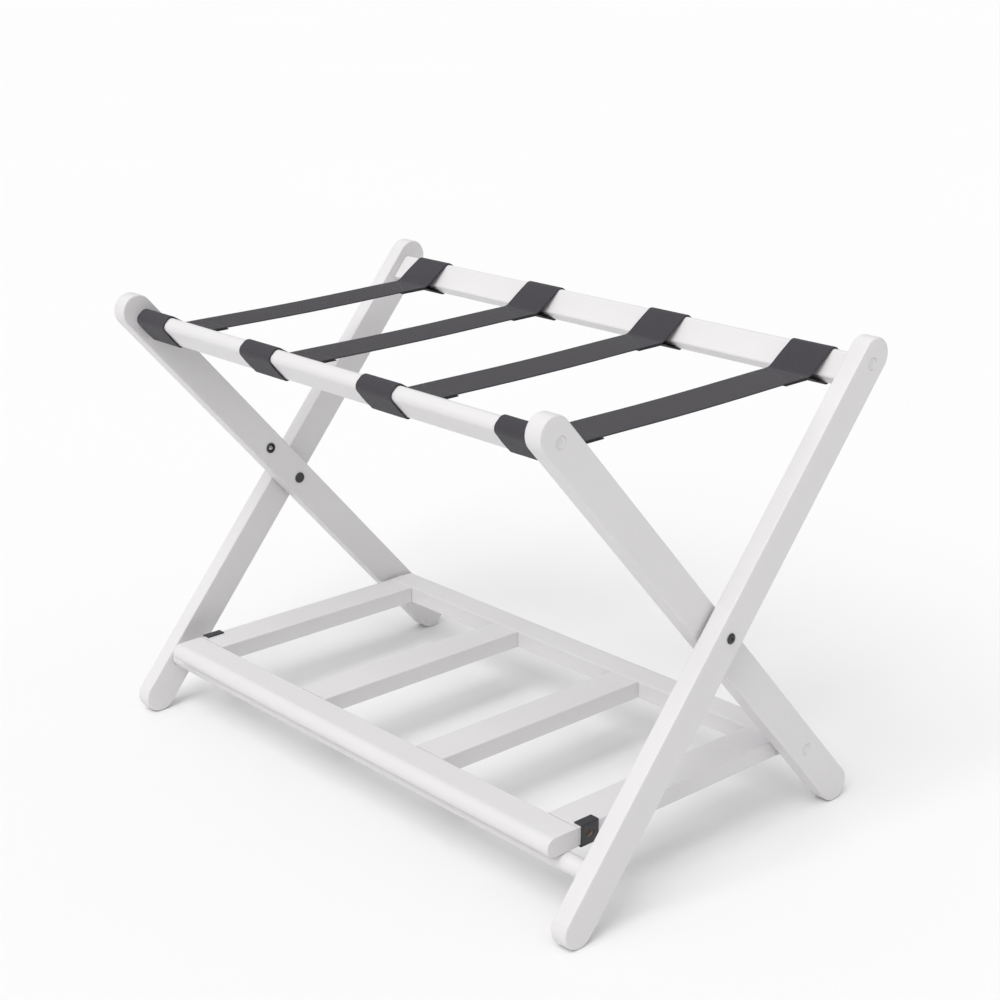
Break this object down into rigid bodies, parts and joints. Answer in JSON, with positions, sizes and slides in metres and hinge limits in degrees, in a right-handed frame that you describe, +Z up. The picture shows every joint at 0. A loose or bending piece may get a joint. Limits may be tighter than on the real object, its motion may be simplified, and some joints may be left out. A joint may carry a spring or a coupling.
{
  "type": "folding luggage rack",
  "caption": "Folding luggage rack with a white wooden scissor frame, dark webbing straps across the top rails and a hinged slatted shelf below.",
  "frame": {"origin": "on the floor under the middle of the rack", "axes": "+X along the rails to the right, +Y to the back, +Z up"},
  "size_m": [0.6634, 0.401, 0.4576],
  "materials": {
    "white_painted_wood": "satin white paint on solid wood",
    "beech_pin": "bare turned hardwood",
    "white_plastic": "semi-gloss moulded plastic",
    "black_steel": "black oxide, satin",
    "zinc_steel": "bright zinc plating",
    "polished_steel": "polished ball",
    "black_nylon": "matt moulded nylon",
    "grey_webbing": "fine ribbed dark grey webbing"
  },
  "bodies": {
    "outer_frame": {"outer_leg_left": "white_painted_wood", "outer_leg_right": "white_painted_wood", "back_top_rail": "white_painted_wood", "round_lower_rail": "white_painted_wood", "outer_rail_screw_left": "zinc_steel", "outer_rail_pin_left": "beech_pin", "outer_screw_cover_left": "white_plastic", "pivot_bolt_left": "black_steel", "pivot_spacer_left": "black_nylon", "outer_rail_screw_right": "zinc_steel", "outer_rail_pin_right": "beech_pin", "outer_screw_cover_right": "white_plastic", "pivot_bolt_right": "black_steel", "pivot_spacer_right": "black_nylon", "strap_1": "grey_webbing", "strap_2": "grey_webbing", "strap_3": "grey_webbing", "strap_4": "grey_webbing"},
    "inner_frame": {"inner_leg_left": "white_painted_wood", "inner_leg_right": "white_painted_wood", "front_top_rail": "white_painted_wood", "inner_rail_screw_left": "zinc_steel", "inner_rail_pin_left": "beech_pin", "inner_screw_cover_left": "white_plastic", "shelf_hinge_cover_left": "white_plastic", "pivot_sleeve_left": "black_steel", "catch_barrel_left": "black_steel", "catch_ball_left": "polished_steel", "inner_rail_screw_right": "zinc_steel", "inner_rail_pin_right": "beech_pin", "inner_screw_cover_right": "white_plastic", "shelf_hinge_cover_right": "white_plastic", "pivot_sleeve_right": "black_steel", "catch_barrel_right": "black_steel", "catch_ball_right": "polished_steel"},
    "shelf": {"shelf_front_bar": "white_painted_wood", "shelf_back_bar": "white_painted_wood", "shelf_end_left": "white_painted_wood", "shelf_slat_left": "white_painted_wood", "shelf_slat_right": "white_painted_wood", "shelf_end_right": "white_painted_wood", "shelf_end_left_pin_front": "beech_pin", "shelf_end_left_pin_back": "beech_pin", "shelf_slat_left_pin_front": "beech_pin", "shelf_slat_left_pin_back": "beech_pin", "shelf_slat_right_pin_front": "beech_pin", "shelf_slat_right_pin_back": "beech_pin", "shelf_end_right_pin_front": "beech_pin", "shelf_end_right_pin_back": "beech_pin", "shelf_hinge_screw_left": "zinc_steel", "shelf_hinge_washer_left": "white_plastic", "shelf_strike_left": "black_steel", "shelf_hinge_screw_right": "zinc_steel", "shelf_hinge_washer_right": "white_plastic", "shelf_strike_right": "black_steel"}
  },
  "joints": [
    {"name": "fold", "type": "hinge", "parent": "outer_frame", "child": "inner_frame", "pos_m": [0, 0, 0.22656], "axis": [-1, 0, 0], "range_deg": [0, 75], "deforming": ["strap_1", "strap_2", "strap_3", "strap_4"]},
    {"name": "shelf_fold", "type": "hinge", "parent": "inner_frame", "child": "shelf", "pos_m": [0, 0.13523, 0.06878], "axis": [-1, 0, 0], "range_deg": [0, 48.6]}
  ]
}
